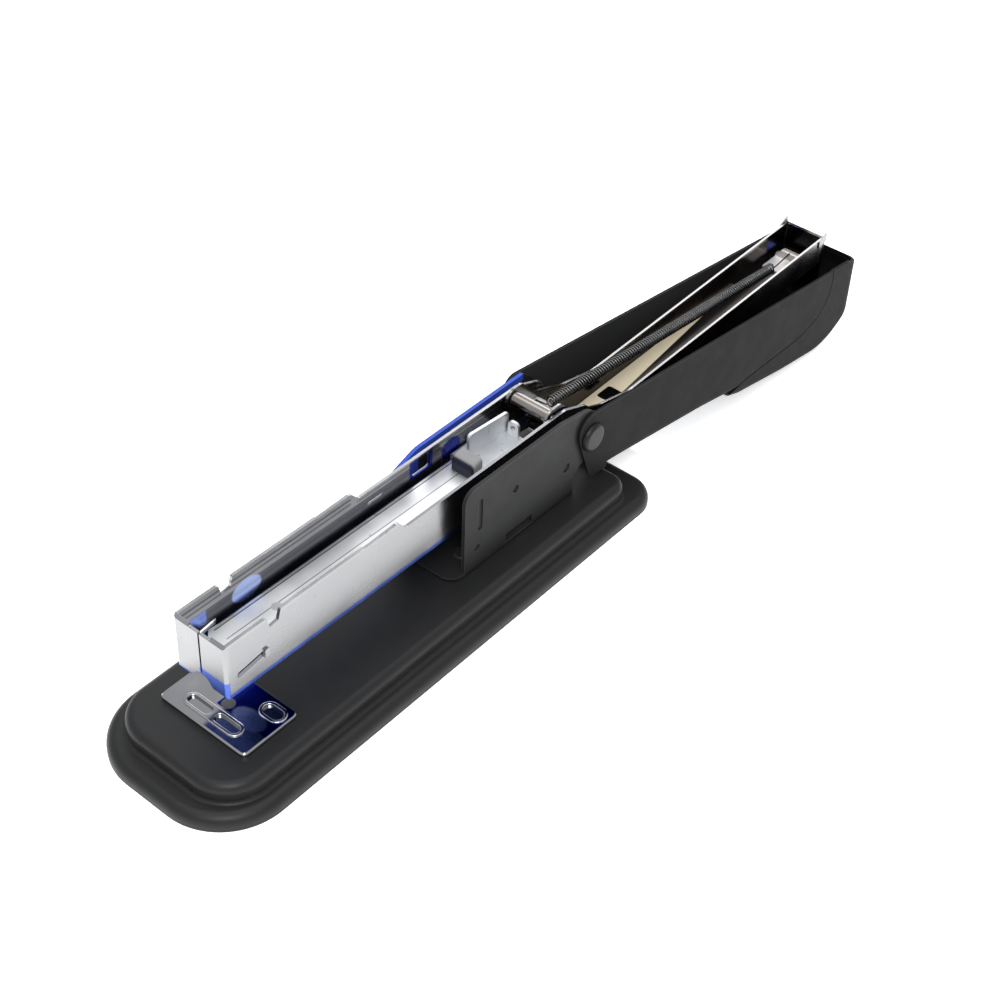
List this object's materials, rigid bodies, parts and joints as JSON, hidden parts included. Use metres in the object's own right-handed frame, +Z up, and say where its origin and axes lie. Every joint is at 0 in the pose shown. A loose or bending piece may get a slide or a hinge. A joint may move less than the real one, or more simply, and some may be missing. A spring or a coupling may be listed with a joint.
{
  "type": "desk stapler",
  "caption": "Full-strip desk stapler laid open for loading: black base and handle, bright magazine, rail, pusher and feed cover on one pivot.",
  "frame": {"origin": "centre of the base's underside", "axes": "+X from the nose to the rear, +Z up"},
  "size_m": [0.2626, 0.0468, 0.0472],
  "materials": {
    "black_base": "satin black paint over pressed steel",
    "black_handle": "satin black paint over pressed steel",
    "black_bracket": "satin black paint",
    "chrome": "bright nickel and chrome plating",
    "zinc": "zinc plated strip",
    "dark_steel": "blackened steel",
    "spring_steel": "drawn spring wire and strip",
    "black_plastic": "fine grained moulding",
    "tip_plastic": "moulded nylon",
    "rubber": "moulded rubber",
    "pale_plastic": "moulded acetal"
  },
  "bodies": {
    "base": {"base_shell": "black_base", "base_pad": "rubber", "bracket": "black_bracket", "bracket_rivets": "dark_steel", "main_pin": "dark_steel", "pivot_bush": "chrome", "lift_spring": "spring_steel"},
    "anvil_post": {"anvil_button": "zinc", "anvil_spring": "spring_steel"},
    "anvil": {"anvil_plate": "chrome"},
    "magazine": {"magazine_channel": "chrome", "staple_rail": "chrome", "rail_rivets": "zinc"},
    "pusher": {"pusher": "zinc", "pusher_tip": "tip_plastic"},
    "cover": {"cover_channel": "chrome", "roller_pin": "dark_steel", "spring_anchor": "pale_plastic", "pusher_spring": "spring_steel"},
    "handle": {"handle_shell": "black_handle", "thumb_cap": "black_plastic", "blade_holder": "dark_steel", "handle_rivets": "dark_steel", "driver_blade": "zinc", "handle_spring": "spring_steel", "leaf_rivet": "dark_steel"}
  },
  "joints": [
    {"name": "anvil_lift", "type": "slide", "parent": "base", "child": "anvil_post", "axis": [0, 0, 1], "range_m": [0, 0.002], "stiffness_N_per_m": 400, "springref_m": -0.001, "deforming": ["anvil_spring"]},
    {"name": "anvil_turn", "type": "hinge", "parent": "anvil_post", "child": "anvil", "pos_m": [-0.051, 0, 0.0088], "axis": [0, 0, 1], "range_deg": [0, 180]},
    {"name": "magazine_tilt", "type": "hinge", "parent": "base", "child": "magazine", "pos_m": [0.059, 0, 0.02405], "axis": [0, 1, 0], "range_deg": [-5.2, 0], "stiffness_Nm_per_rad": 1.5, "springref_deg": 6.88, "deforming": ["lift_spring"]},
    {"name": "pusher_slide", "type": "slide", "parent": "magazine", "child": "pusher", "axis": [-0.9998, 0, 0.0178], "range_m": [0, 0.077]},
    {"name": "cover_swing", "type": "hinge", "parent": "magazine", "child": "cover", "pos_m": [0.059, 0, 0.02405], "axis": [0, -1, 0], "range_deg": [0, 177.6], "deforming": ["pusher_spring"]},
    {"name": "handle_press", "type": "hinge", "parent": "cover", "child": "handle", "pos_m": [0.059, 0, 0.02405], "axis": [0, -1, 0], "range_deg": [0, 4.2], "stiffness_Nm_per_rad": 2, "springref_deg": -3.44, "deforming": ["handle_spring"]}
  ]
}
